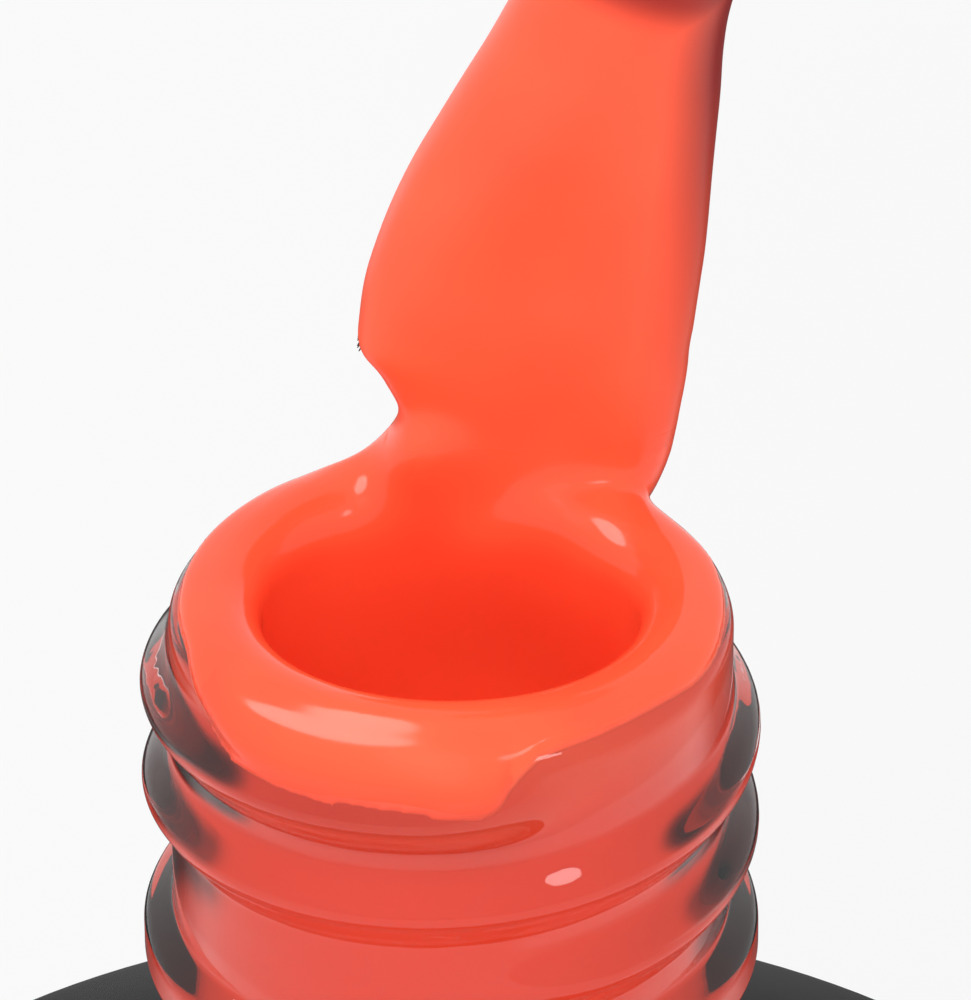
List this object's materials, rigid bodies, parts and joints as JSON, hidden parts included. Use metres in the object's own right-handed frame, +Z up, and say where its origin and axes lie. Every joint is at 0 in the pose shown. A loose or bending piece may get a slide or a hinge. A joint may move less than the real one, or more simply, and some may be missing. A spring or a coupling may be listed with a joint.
{
  "type": "nail polish bottle",
  "caption": "Round lacquered glass bottle of nail polish, its screw cap and brush lifted out, the loaded brush wiping on the rim.",
  "frame": {"origin": "middle of the base, on the surface that the bottle stands on", "axes": "+Z up along the neck, +X to the right in the picture, +Y away from its viewer"},
  "size_m": [0.045, 0.0362, 0.1077],
  "materials": {
    "clear_glass": "polished, clear",
    "black_lacquer": "high gloss lacquer on the glass",
    "paper_label": "matt, blank",
    "polish": "wet, opaque orange-coral lacquer",
    "cap_plastic": "gloss, moulded",
    "inner_plastic": "satin, moulded",
    "liner_foam": "matt foam",
    "stem_plastic": "satin, moulded",
    "staple_wire": "drawn wire",
    "bristle_nylon": "fine dark filaments"
  },
  "bodies": {
    "bottle": {"glass_bottle": "clear_glass", "lacquer_coat": "black_lacquer", "base_label": "paper_label", "polish_fill": "polish", "lip_film": "polish", "wiped_pool": "polish"},
    "wand": {"overcap": "cap_plastic", "inner_cap": "inner_plastic", "seal_liner": "liner_foam", "brush_stem": "stem_plastic", "bristle_staple": "staple_wire", "bristle_root": "bristle_nylon"},
    "tuft": {"bristle_tuft": "bristle_nylon", "polish_load": "polish"}
  },
  "joints": [
    {"name": "wand_lift", "type": "slide", "parent": "bottle", "child": "wand", "axis": [0.309, 0, 0.9511], "range_m": [0, 0.06]},
    {"name": "tuft_bend", "type": "hinge", "parent": "wand", "child": "tuft", "pos_m": [0.00339, 0.00466, 0.05565], "axis": [0.9511, 0, -0.309], "range_deg": [-15, 15], "stiffness_Nm_per_rad": 0.002}
  ]
}
